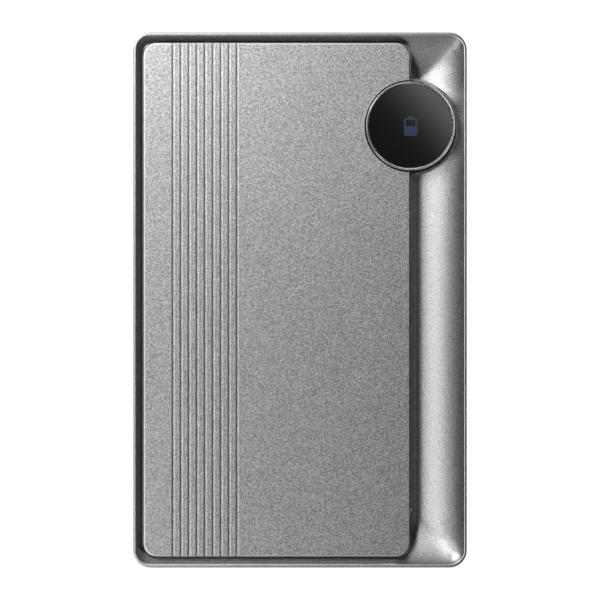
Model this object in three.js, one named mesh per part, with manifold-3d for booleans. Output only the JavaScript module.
// Palm-size power bank: a metal tray with a raised ribbed front plate, a coved
// channel along its right side and a round glass-topped push button that stands
// over the corner of the plate.
//
// Frame: millimetres. The bank lies on its back. +Z points out of the front
// face, +Y towards the edge that carries the sockets, +X towards the channel.
// The origin is the centre of the underside.
import * as THREE from "three";
import { mergeVertices } from "three/addons/utils/BufferGeometryUtils.js";
import Module from "manifold-3d";

// ---- areas in plan: x0, y0 is the lower left corner, x1, y1 the upper right ----
const rect = (x0, y0, x1, y1) => ({ x0, y0, x1, y1 });
const across = (x, halfWidth, y0, y1) => rect(x - halfWidth, y0, x + halfWidth, y1);
const centred = (width, height, [x, y] = [0, 0]) =>
  rect(x - width / 2, y - height / 2, x + width / 2, y + height / 2);
const inset = ({ x0, y0, x1, y1 }, byX, byY = byX) =>
  rect(x0 + byX, y0 + byY, x1 - byX, y1 - byY);

// ---- driving dimensions ----
const BODY = centred(68.0, 109.1);
const BODY_T = 15.0; // underside to rim land
const CORNER_R = 3.6;
const EDGE_R = 0.42; // fillet on the outer edges
const EDGE_STEPS = 3;
const WALL = 1.2;

const COVER_T = 1.6; // back cover thickness
const SEAM = 0.06; // gap between back cover and tray

const RIM_INSET = 0.62; // outer edge to inner edge of the rim land
const POCKET_Z = 12.7; // floor the plate is bonded to
const POCKET_ROOF = 11.7; // inside height under the plate
const COVE_X0 = 22.42; // left edge of the channel, under the plate's right edge
const COVE_ROOF = 10.0; // inside height under the channel

const BUTTON_X = 22.5;
const BUTTON_Y = 35.4;
const BUTTON = [BUTTON_X, BUTTON_Y];
const LIGHT = [BUTTON_X - 5.0, BUTTON_Y]; // axis of the light window
const STEM_R = 2.6;
const RECESS_R = 9.95; // round clearance recess in the tray
const RECESS_Z = 11.6;

const BOARD = rect(-26.0, 32.0, 26.0, 51.0);
const BOARD_Z = 3.4;
const BOARD_TOP = BOARD_Z + 1.0;
const PART_Z = BOARD_TOP + 0.02; // underside of the parts on the board

// Openings in the +Y edge: centre x and z, size and corner radius.
const USB_A = { x: -8.0, z: 6.4, width: 13.2, height: 5.7, radius: 0.5 };
const USB_C = { x: 10.0, z: 6.1, width: 8.94, height: 3.26, radius: 1.55 };
const FASCIA = { x: 1.0, z: 6.3, width: 33.6, height: 6.9, radius: 1.9 };
const PORT_FIT = 0.1; // gap round the sockets and round the fascia

const CASE_SCREWS = [[-28.8, -49.0], [28.8, -49.0], [-28.8, 49.0], [28.8, 49.0]];
const BOARD_SCREWS = [[-22.5, 34.8], [-22.5, 48.0], [22.5, 47.5]];
const SCREW_BORE_R = 0.9;

const BOND_GAP = 0.03; // either side of the tapes and sheets

// Cutters end here, clear of the body.
const PAST_X = 40;
const PAST_Y = 60;
const BELOW = -10;
const ABOVE = 30;

// ---- solids ----
const wasm = await Module();
wasm.setup();

// Manifold solid of a closed geometry; a manifold is passed through.
function solid(shape) {
  if (!shape.isBufferGeometry) return shape;
  shape.deleteAttribute("normal");
  shape.deleteAttribute("uv");
  const merged = mergeVertices(shape, 1e-4);
  return new wasm.Manifold(
    new wasm.Mesh({
      numProp: 3,
      vertProperties: new Float32Array(merged.attributes.position.array),
      triVerts: new Uint32Array(merged.index.array),
    }),
  );
}
const cut = (base, ...tools) =>
  tools.reduce((rest, tool) => rest.subtract(solid(tool)), solid(base));
const join = (base, ...others) =>
  others.reduce((sum, other) => sum.add(solid(other)), solid(base));

function geometryOf(manifold) {
  const mesh = manifold.getMesh();
  const geometry = new THREE.BufferGeometry();
  const points = new Float32Array(mesh.numVert * 3);
  for (let i = 0; i < mesh.numVert; i++)
    for (let k = 0; k < 3; k++)
      points[3 * i + k] = mesh.vertProperties[mesh.numProp * i + k];
  geometry.setAttribute("position", new THREE.BufferAttribute(points, 3));
  geometry.setIndex(new THREE.BufferAttribute(new Uint32Array(mesh.triVerts), 1));
  geometry.computeVertexNormals();
  return geometry;
}

const group = new THREE.Group();
function add(name, shape, material) {
  const geometry = shape.isBufferGeometry ? shape : geometryOf(shape);
  const mesh = new THREE.Mesh(geometry, material);
  mesh.name = name;
  group.add(mesh);
}

// ---- shapes ----
function roundedRect({ x0, y0, x1, y1 }, r) {
  const shape = new THREE.Shape();
  shape.moveTo(x0 + r, y0);
  shape.lineTo(x1 - r, y0);
  shape.absarc(x1 - r, y0 + r, r, -Math.PI / 2, 0, false);
  shape.lineTo(x1, y1 - r);
  shape.absarc(x1 - r, y1 - r, r, 0, Math.PI / 2, false);
  shape.lineTo(x0 + r, y1);
  shape.absarc(x0 + r, y1 - r, r, Math.PI / 2, Math.PI, false);
  shape.lineTo(x0, y0 + r);
  shape.absarc(x0 + r, y0 + r, r, Math.PI, 1.5 * Math.PI, false);
  return shape;
}

// A bevel in the options adds to both ends of z0..z1.
const extrude = (shape, z0, z1, options) =>
  new THREE.ExtrudeGeometry(shape, {
    depth: z1 - z0,
    bevelEnabled: false,
    ...options,
  }).translate(0, 0, z0);

// Straight prism with rounded corners.
const prism = (area, radius, z0, z1, curveSegments) =>
  extrude(roundedRect(area, radius), z0, z1, { curveSegments });

// Prism whose two ends are rounded inwards by edge.
const softPrism = (area, radius, z0, z1, edge, bevelSegments, curveSegments = 6) =>
  extrude(roundedRect(inset(area, edge), radius - edge), z0 + edge, z1 - edge, {
    bevelEnabled: true,
    bevelThickness: edge,
    bevelSize: edge,
    bevelSegments,
    curveSegments,
  });

const box = ({ x0, y0, x1, y1 }, z0, z1) =>
  new THREE.BoxGeometry(x1 - x0, y1 - y0, z1 - z0).translate(
    (x0 + x1) / 2,
    (y0 + y1) / 2,
    (z0 + z1) / 2,
  );

// Slab wider than the body, for trimming it at a height.
const slab = (z0, z1) => box(rect(-PAST_X, -PAST_Y, PAST_X, PAST_Y), z0, z1);

// Upright rod, or a cone where the top radius differs.
const rod = ([x, y], radius, z0, z1, segments, topRadius = radius) =>
  new THREE.CylinderGeometry(topRadius, radius, z1 - z0, segments)
    .rotateX(Math.PI / 2)
    .translate(x, y, (z0 + z1) / 2);

// Cutter for a round hole right through.
const hole = (at, radius, segments) => rod(at, radius, BELOW, ABOVE, segments);

// Turned piece about an upright axis; the profile is [radius, height] pairs.
const turned = ([x, y], profile, segments) =>
  new THREE.LatheGeometry(
    profile.map(([radius, z]) => new THREE.Vector2(radius, z)),
    segments,
  )
    .rotateX(Math.PI / 2)
    .translate(x, y, 0);

// Rounded bar along Y, larger than the port by a margin all round.
const portSlot = ({ x, z, width, height, radius }, y0, y1, margin = 0) =>
  extrude(
    roundedRect(centred(width + 2 * margin, height + 2 * margin), radius + margin),
    0,
    y1 - y0,
    { curveSegments: 5 },
  )
    .rotateX(Math.PI / 2)
    .translate(x, y1, z);
const portCutter = (port, margin) => portSlot(port, 50, PAST_Y, margin);

// Screw with its head down and a hexagon socket up to socketTop.
const screw = (at, profile, segments, socketR, socketTop) =>
  cut(turned(at, profile, segments), rod(at, socketR, BELOW, socketTop, 6));

// ---- materials ----
const finish = (settings) => new THREE.MeshStandardMaterial(settings);
const materials = {
  alloy: finish({ color: 0xa9aaab, roughness: 0.38, metalness: 1 }),
  alloyPlate: finish({ color: 0xb2b3b4, roughness: 0.42, metalness: 1 }),
  chrome: finish({ color: 0xd0d2d4, roughness: 0.12, metalness: 1 }),
  lens: finish({ color: 0x141416, roughness: 0.06 }),
  blackPlastic: finish({ color: 0x17181a, roughness: 0.5 }),
  legend: finish({ color: 0x3b4d66, roughness: 0.4 }),
  clear: finish({ color: 0xd8dde0, roughness: 0.2 }),
  board: finish({ color: 0x1c4a33, roughness: 0.45 }),
  chip: finish({ color: 0x1a1a1c, roughness: 0.5 }),
  ferrite: finish({ color: 0x3a3a3c, roughness: 0.7, metalness: 0.1 }),
  steel: finish({ color: 0xa4a7aa, roughness: 0.28, metalness: 1 }),
  pouch: finish({ color: 0xb9bcc0, roughness: 0.32, metalness: 0.8 }),
  foam: finish({ color: 0x2b2c2e, roughness: 0.95 }),
  tape: finish({ color: 0x9a7c35, roughness: 0.5 }),
  nickel: finish({ color: 0xbfbdb5, roughness: 0.3, metalness: 1 }),
  red: finish({ color: 0xa01d1d, roughness: 0.5 }),
  black: finish({ color: 0x101011, roughness: 0.5 }),
  ceramic: finish({ color: 0x8d7b62, roughness: 0.55 }),
  white: finish({ color: 0xe3e2dc, roughness: 0.5 }),
};

// ---- channel ----
const COVE_Z = 11.0; // floor
const LEDGE_TOP = POCKET_Z - 0.1; // sloped ledge at the left edge
const LEDGE_FOOT_X = 23.97;
const COVE_RISE_X = 24.7; // where the right wall starts to rise
// A wall's rise is a gentle power curve, with the given share, plus a steep one.
const RIGHT_WALL = { share: 0.664, gentle: 1.395, steep: 5.14 };
// An end wall starts to rise at |y| = foot. The foot moves out by skew for each
// millimetre to the right; square sets how square the level curves turn into
// the right wall.
const TOP_END = {
  foot: 45.08,
  skew: 0.1,
  wall: { share: 0.976, gentle: 1.63, steep: 9.25 },
  square: 6.3,
};
const BOTTOM_END = {
  foot: 42.6,
  skew: -0.745,
  wall: { share: 0.913, gentle: 2.19, steep: 12.0 },
  square: 5.6,
};
const SKEW_X = 26; // where the skew is nil
const SKEW_REACH = 5; // the skew levels off over this distance
// Past the rim the cutter runs just above the land, at a slight slope.
const PAST_RIM = { from: 0.9999, lift: 0.01, slope: 0.4 };
// Grid lines: share of the width from the left, share of the half length.
const COVE_COLUMNS = [0, 0.1429, 0.3, 0.45, 0.58, 0.68, 0.77, 0.84, 0.9, 0.955, 1];
const COVE_ROWS = [
  0, 0.5, 0.74, 0.78, 0.81, 0.84, 0.87, 0.9, 0.925, 0.945, 0.965, 0.98, 0.991, 1,
];
const RIM = inset(BODY, RIM_INSET);

const wallRise = (t, { share, gentle, steep }) =>
  share * t ** gentle + (1 - share) * t ** steep;

// Height of the channel floor and walls. The level curves round the corners.
function coveHeight(x, y) {
  const end = y > 0 ? TOP_END : BOTTOM_END;
  const foot = end.foot + end.skew * SKEW_REACH * Math.tanh((x - SKEW_X) / SKEW_REACH);
  const tx = Math.max(0, (x - COVE_RISE_X) / (RIM.x1 - COVE_RISE_X));
  const ty = Math.max(0, (Math.abs(y) - foot) / (RIM.y1 - foot));
  const t = (tx ** end.square + ty ** end.square) ** (1 / end.square);
  if (t >= PAST_RIM.from) return BODY_T + PAST_RIM.slope * (t - 1) + PAST_RIM.lift;
  const rightShare = t > 0 ? (tx / t) ** end.square : 0;
  const rise =
    rightShare * wallRise(t, RIGHT_WALL) + (1 - rightShare) * wallRise(t, end.wall);
  const slope = (COVE_Z - LEDGE_TOP) / (LEDGE_FOOT_X - COVE_X0);
  const ledge = LEDGE_TOP + slope * (x - COVE_X0);
  return Math.max(COVE_Z + (BODY_T - COVE_Z) * rise, ledge);
}

// Box whose underside is bent to the channel surface.
function coveCutter() {
  const columns = COVE_COLUMNS.length - 1;
  const rows = 2 * (COVE_ROWS.length - 1);
  const geometry = new THREE.BoxGeometry(1, 1, 1, columns, rows, 1);
  const points = geometry.attributes.position;
  for (let i = 0; i < points.count; i++) {
    const column = Math.round((points.getX(i) + 0.5) * columns);
    const row = Math.round((points.getY(i) + 0.5) * rows) - rows / 2;
    const x = COVE_X0 + COVE_COLUMNS[column] * (RIM.x1 - COVE_X0);
    const y = Math.sign(row) * COVE_ROWS[Math.abs(row)] * RIM.y1;
    points.setXYZ(i, x, y, points.getZ(i) > 0 ? BODY_T + 2 : coveHeight(x, y));
  }
  return geometry;
}

// ---- tray ----
const POCKET_INSET = 1.9; // outer edge to the foot of the wall round the plate
const POCKET_R = 2.9;
const INSIDE_R = 2.4;
const CASE_BOSS_R = 2.2;
const CASE_BORE_TOP = 7.5;
const BOARD_BOSS_R = 1.8;
const BOARD_BORE_TOP = 8.2;

// Pocket for the plate, flared out to the rim and ending at the channel.
function pocketCutter() {
  const flared = extrude(
    roundedRect(inset(BODY, POCKET_INSET), POCKET_R),
    BODY_T,
    BODY_T + 3,
    {
      bevelEnabled: true,
      bevelThickness: BODY_T - POCKET_Z,
      bevelSize: POCKET_INSET - RIM_INSET,
      bevelSegments: 3,
      curveSegments: 5,
    },
  );
  const leftPart = box(rect(-PAST_X, -PAST_Y, COVE_X0, PAST_Y), 5, BODY_T + 1);
  return solid(flared).intersect(solid(leftPart));
}

// Inside space, less the hub under the button and the screw bosses.
function insideCutter() {
  const full = inset(BODY, WALL);
  return cut(
    join(
      prism({ ...full, x1: COVE_X0 - WALL }, INSIDE_R, 0, POCKET_ROOF, 4),
      prism(full, INSIDE_R, 0, COVE_ROOF, 4),
    ),
    rod(BUTTON, RECESS_R + 0.6, COVE_ROOF, POCKET_ROOF + 1, 40),
    ...CASE_SCREWS.map((at) => rod(at, CASE_BOSS_R, COVER_T + 0.2, ABOVE, 20)),
    ...BOARD_SCREWS.map((at) => rod(at, BOARD_BOSS_R, BOARD_TOP + 0.05, ABOVE, 16)),
  );
}

function trayShape() {
  const shell = cut(
    softPrism(BODY, CORNER_R, -3, BODY_T, EDGE_R, EDGE_STEPS),
    slab(BELOW, COVER_T + SEAM),
    pocketCutter(),
    coveCutter(),
  );
  // the recess floor stands above the channel floor
  const floored = join(shell, rod(BUTTON, RECESS_R, COVE_ROOF + 0.2, RECESS_Z, 56));
  return cut(
    floored,
    rod(BUTTON, RECESS_R, RECESS_Z, ABOVE, 56),
    insideCutter(),
    ...CASE_SCREWS.map((at) => rod(at, SCREW_BORE_R, BELOW, CASE_BORE_TOP, 12)),
    ...BOARD_SCREWS.map((at) => rod(at, SCREW_BORE_R, BELOW, BOARD_BORE_TOP, 12)),
    hole(BUTTON, STEM_R + 0.3, 28),
    hole(LIGHT, 1.5, 16),
    portCutter(FASCIA, PORT_FIT),
  );
}
add("housing_tray", trayShape(), materials.alloy);

// ---- front plate ----
const PLATE = rect(-31.85, -52.25, 22.3, 52.3);
const PLATE_R = 2.65;
const PLATE_Z0 = 12.95;
const PLATE_Z1 = 15.3;
const PLATE_CUT_R = 9.35; // round cut-out beside the button
const GROOVE_N = 9;
const GROOVE_X0 = -25.98;
const GROOVE_PITCH = 1.629;
const GROOVE = { width: 0.29, depth: 0.55 };
const FINE_OFFSET = 0.78; // shallow line to the right of each groove
const FINE_LINE = { width: 0.24, depth: 0.08 };

const lineCutter = (x, { width, depth }) =>
  box(across(x, width / 2, -PAST_Y, PAST_Y), PLATE_Z1 - depth, ABOVE);

function plateShape() {
  const lines = [];
  for (let i = 0; i < GROOVE_N; i++) {
    const x = GROOVE_X0 + i * GROOVE_PITCH;
    lines.push(lineCutter(x, GROOVE), lineCutter(x + FINE_OFFSET, FINE_LINE));
  }
  return cut(
    prism(PLATE, PLATE_R, PLATE_Z0, PLATE_Z1, 8),
    ...lines,
    hole(BUTTON, PLATE_CUT_R, 64),
  );
}
add("front_plate", plateShape(), materials.alloyPlate);
add(
  "plate_adhesive",
  cut(
    prism(inset(PLATE, 1), 2, POCKET_Z + 0.02, PLATE_Z0 - 0.02, 3),
    hole(BUTTON, RECESS_R + 0.4, 32),
  ),
  materials.foam,
);

// ---- back cover ----
const LIP_T = 1.0; // locating lip
const LIP_H = 1.1;
const LIP_OUTER = inset(BODY, WALL + 0.15);

function coverShape() {
  const lip = cut(
    prism(LIP_OUTER, 2.2, COVER_T - 0.3, COVER_T + LIP_H, 4),
    prism(inset(LIP_OUTER, LIP_T), 1.6, COVER_T, 9, 4),
  );
  const blank = cut(
    softPrism(BODY, CORNER_R, 0, 6, EDGE_R, EDGE_STEPS),
    slab(COVER_T, ABOVE),
  );
  return cut(
    join(blank, lip),
    // the lip stops either side of the socket fascia
    box(across(FASCIA.x, 20, 51.0, 53.6), COVER_T, ABOVE),
    // countersunk screw holes
    ...CASE_SCREWS.flatMap((at) => [
      hole(at, 1.0, 16),
      rod(at, 2.15, -0.2, 1.15, 24, 0.9),
    ]),
  );
}
add("back_cover", coverShape(), materials.alloy);

// ---- case screws ----
// [radius, height], from the head up to the tip
const CASE_SCREW = [
  [0, 0.12], [1.62, 0.12], [1.62, 0.2], [0.72, 1.1], [0.72, 6.6], [0.4, 7.0], [0, 7.0],
];
CASE_SCREWS.forEach((at, i) => {
  add("case_screw_" + (i + 1), screw(at, CASE_SCREW, 20, 0.75, 0.75), materials.steel);
});

// ---- push button ----
const BUTTON_R = 9.05;
const BUTTON_TOP = 16.3;
const LENS_R = 8.45;
const LENS_Z = 15.25; // underside of the lens
const WELL_R = 8.1; // well for the light guide
const WELL_FLOOR = 14.5;
const WELL_TOP = 15.2;
const GUIDE_R = 8.0;
const RING_INNER_R = 8.5;
const RING_Z = 13.55;

// [radius, height]: stem with the clip's groove, flange, drum and well
const BUTTON_BODY = [
  [0, 7.6], [2.2, 7.6], [STEM_R, 8.0],
  [STEM_R, 9.1], [2.15, 9.1], [2.15, 9.8], [STEM_R, 9.8],
  [STEM_R, 13.1], [9.0, 13.1], [9.0, 13.5], [LENS_R, 13.5],
  [LENS_R, WELL_TOP], [WELL_R, WELL_TOP], [WELL_R, WELL_FLOOR], [0, WELL_FLOOR],
];
const BUTTON_RING = [
  [RING_INNER_R, RING_Z], [BUTTON_R, RING_Z], [BUTTON_R, BUTTON_TOP - 0.42],
  [8.62, BUTTON_TOP], [RING_INNER_R, BUTTON_TOP], [RING_INNER_R, RING_Z],
];
const LENS = [
  [0, LENS_Z], [LENS_R, LENS_Z], [LENS_R, BUTTON_TOP - 0.1],
  [LENS_R - 0.1, BUTTON_TOP], [0, BUTTON_TOP],
];

add(
  "button_body",
  cut(turned(BUTTON, BUTTON_BODY, 48), hole(LIGHT, 1.35, 16)),
  materials.blackPlastic,
);
add("button_ring", turned(BUTTON, BUTTON_RING, 72), materials.chrome);
add(
  "light_guide",
  join(
    rod(BUTTON, GUIDE_R, WELL_FLOOR + 0.05, WELL_TOP, 40),
    rod(LIGHT, 1.2, 13.3, 14.7, 14),
  ),
  materials.clear,
);

// Battery pictogram set flush into the lens: a case with a terminal, part filled.
const LEGEND = centred(2.7, 3.6, [0, -0.25]); // case, from the button's axis
const LEGEND_LINE = 0.38; // width of the case outline
const LEGEND_FILL_Y = 0; // top of the filled part
const TERMINAL_W = 1.2;
const TERMINAL_H = 0.45;

function legendPrism(margin, z0, z1) {
  const { x0, y0, x1, y1 } = inset(LEGEND, -margin);
  const terminalX = TERMINAL_W / 2 + margin;
  const points = (pairs) => pairs.map(([x, y]) => new THREE.Vector2(x, y));
  const shape = new THREE.Shape(
    points([
      [x0, y0], [x1, y0], [x1, y1],
      [terminalX, y1], [terminalX, y1 + TERMINAL_H],
      [-terminalX, y1 + TERMINAL_H], [-terminalX, y1], [x0, y1],
    ]),
  );
  const empty = inset(LEGEND, LEGEND_LINE + margin);
  const fillY = LEGEND_FILL_Y + margin;
  shape.holes.push(
    new THREE.Path(
      points([
        [empty.x0, fillY], [empty.x0, empty.y1],
        [empty.x1, empty.y1], [empty.x1, fillY],
      ]),
    ),
  );
  return extrude(shape, z0, z1).translate(...BUTTON, 0);
}
add(
  "button_lens",
  cut(turned(BUTTON, LENS, 72), legendPrism(0.02, BUTTON_TOP - 0.14, BUTTON_TOP + 1)),
  materials.lens,
);
add(
  "button_legend",
  solid(legendPrism(0, BUTTON_TOP - 0.12, BUTTON_TOP)),
  materials.legend,
);

// open clip in the groove of the stem
add(
  "retaining_clip",
  cut(
    rod(BUTTON, 4.2, 9.2, 9.7, 32),
    hole(BUTTON, 2.3, 24),
    box(across(BUTTON_X, 1.9, BUTTON_Y - 6, BUTTON_Y), 8, 11),
  ),
  materials.steel,
);
// fixed guide collar in the recess
add(
  "button_collar",
  cut(rod(BUTTON, 9.4, RECESS_Z + 0.02, 12.5, 56), hole(BUTTON, 6.8, 40)),
  materials.blackPlastic,
);

// ---- tactile switch ----
add(
  "switch_body",
  cut(box(centred(6, 6, BUTTON), PART_Z, 7.0), rod(BUTTON, 1.9, 5.0, 9, 20)),
  materials.chip,
);
add("switch_plunger", solid(rod(BUTTON, 1.7, 5.7, 7.55, 20)), materials.white);

// ---- main board ----
add(
  "main_board",
  cut(
    prism(BOARD, 1.0, BOARD_Z, BOARD_TOP, 3),
    // notch for the larger socket
    box(across(USB_A.x, USB_A.width / 2 + 0.25, 39.0, PAST_Y), 0, 9),
    ...BOARD_SCREWS.map((at) => hole(at, 1.1, 16)),
  ),
  materials.board,
);
// [radius, height], from the head up to the tip
const BOARD_SCREW = [
  [0, 2.45], [1.7, 2.45], [1.7, 3.35], [0.72, 3.35], [0.72, 7.4], [0.4, 7.8], [0, 7.8],
];
BOARD_SCREWS.forEach((at, i) => {
  add("board_screw_" + (i + 1), screw(at, BOARD_SCREW, 18, 0.7, 2.95), materials.steel);
});

// ---- sockets ----
const PORT_FACE_Y = 54.1; // mouth of both sockets
const SHELL_BACK = 0.4; // thickness of a shell's closed end

const socketShell = (port, thickness, y0) =>
  cut(
    portSlot(port, y0, PORT_FACE_Y),
    portSlot(port, y0 + SHELL_BACK, PORT_FACE_Y + 5, -thickness),
  );
// Block in a socket; z0 and z1 are measured from the socket's centre.
const socketBlock = ({ x, z }, halfWidth, y0, y1, z0, z1) =>
  box(across(x, halfWidth, y0, y1), z + z0, z + z1);

add("usb_a_shell", socketShell(USB_A, 0.35, 40.0), materials.steel);
add(
  "usb_a_tongue",
  join(
    socketBlock(USB_A, 5.5, 40.45, 43.5, -2.4, 2.4),
    socketBlock(USB_A, 5.5, 43.0, 51.4, 0.35, 2.2),
  ),
  materials.white,
);
add("usb_c_shell", socketShell(USB_C, 0.3, 46.4), materials.steel);
add(
  "usb_c_tongue",
  join(
    socketBlock(USB_C, 3.4, 46.85, 48.2, -0.95, 0.95),
    socketBlock(USB_C, 3.35, 48.0, 53.0, -0.35, 0.35),
  ),
  materials.chip,
);

// Plastic fascia round both sockets, flanged behind the wall.
const FLANGE = {
  ...FASCIA,
  width: FASCIA.width + 2.2,
  height: FASCIA.height + 0.6,
  radius: 1.2,
};
add(
  "socket_fascia",
  cut(
    join(portSlot(FASCIA, 53.2, BODY.y1 - 0.2), portSlot(FLANGE, 52.35, 53.25)),
    portCutter(USB_A, PORT_FIT),
    portCutter(USB_C, PORT_FIT),
  ),
  materials.blackPlastic,
);

// ---- parts on the board ----
const boardBlock = (name, area, height, material) =>
  add(name, box(area, PART_Z, BOARD_TOP + height), material);

add(
  "inductor",
  softPrism(rect(-23.2, 38.2, -16.4, 45.0), 1.0, PART_Z, 8.4, 0.35, 1, 3),
  materials.ferrite,
);
boardBlock("converter_chip", rect(1.4, 38.4, 6.4, 43.4), 0.95, materials.chip);
boardBlock("controller_chip", rect(9.0, 34.2, 15.0, 40.2), 1.1, materials.chip);
boardBlock("capacitor_1", rect(-0.2, 34.2, 3.0, 35.9), 1.5, materials.ceramic);
boardBlock("capacitor_2", rect(4.2, 34.2, 7.4, 35.9), 1.5, materials.ceramic);
add("capacitor_3", rod([20.0, 43.4], 2.4, PART_Z, 9.2, 20), materials.steel);
boardBlock("status_led", centred(1.8, 1.2, LIGHT), 0.8, materials.white);
boardBlock("battery_connector", rect(-13.2, 32.6, -6.8, 37.2), 2.6, materials.white);

// ---- battery ----
const CELL = rect(-29.5, -45.0, 29.5, 25.0);
const CELL_T = 3.7;
const LOWER_Z = 1.9; // undersides of the two cells
const UPPER_Z = LOWER_Z + CELL_T + 0.3;
const GUARD_Y = 27.9; // protection board's face towards the cells
const TAB_X = 14;
const TAB_T = 0.2;

// Sheet with rounded corners.
const sheet = (name, area, z0, z1, material) =>
  add(name, prism(area, 1, z0, z1, 2), material);
const cell = (name, z) =>
  add(name, softPrism(CELL, 1.6, z, z + CELL_T, 0.6, 2, 3), materials.pouch);

sheet(
  "cell_adhesive",
  inset(CELL, 5.5, 6),
  COVER_T + BOND_GAP,
  LOWER_Z - BOND_GAP,
  materials.foam,
);
cell("cell_lower", LOWER_Z);
sheet(
  "cell_bond_tape",
  inset(CELL, 7.5, 8),
  LOWER_Z + CELL_T + BOND_GAP,
  UPPER_Z - BOND_GAP,
  materials.foam,
);
cell("cell_upper", UPPER_Z);
sheet(
  "cell_foam_pad",
  inset(CELL, 3.5, 4),
  UPPER_Z + CELL_T + 0.02,
  COVE_ROOF - 0.05,
  materials.foam,
);
add("protection_board", box(across(0, 19, GUARD_Y, GUARD_Y + 0.8), 2.4, 9.2), materials.board);

for (const [level, cellZ] of [["lower", LOWER_Z], ["upper", UPPER_Z]])
  for (const [pole, x] of [["positive", -TAB_X], ["negative", TAB_X]]) {
    const z = cellZ + CELL_T / 2;
    add(
      `${level}_cell_tab_${pole}`,
      box(across(x, 2, CELL.y1 + 0.02, GUARD_Y - 0.03), z - TAB_T / 2, z + TAB_T / 2),
      materials.nickel,
    );
  }

// Leads from the protection board to the battery connector.
const LEAD_R = 0.65;
function lead(name, x, material) {
  // [y, z]
  const stations = [
    [GUARD_Y + 1.05, 6.6], [GUARD_Y + 1.9, 6.75], [GUARD_Y + 3.2, 6.1], [32.3, 5.9],
  ];
  const extrudePath = new THREE.CatmullRomCurve3(
    stations.map(([y, z]) => new THREE.Vector3(x, y, z)),
  );
  const section = new THREE.Shape();
  section.absarc(0, 0, LEAD_R, 0, 2 * Math.PI, false);
  const options = { steps: 8, extrudePath, curveSegments: 5, bevelEnabled: false };
  add(name, new THREE.ExtrudeGeometry(section, options), material);
}
lead("lead_positive", -11.6, materials.red);
lead("lead_negative", -8.4, materials.black);

add("thermistor", box(rect(-3.2, GUARD_Y - 2.1, 0.2, GUARD_Y - 0.05), 4.9, 6.3), materials.tape);
sheet(
  "insulation_sheet",
  rect(-24, BOARD.y0 + 1, 24, BOARD.y1 - 0.5),
  COVER_T + BOND_GAP,
  COVER_T + 0.25,
  materials.tape,
);

export default group;
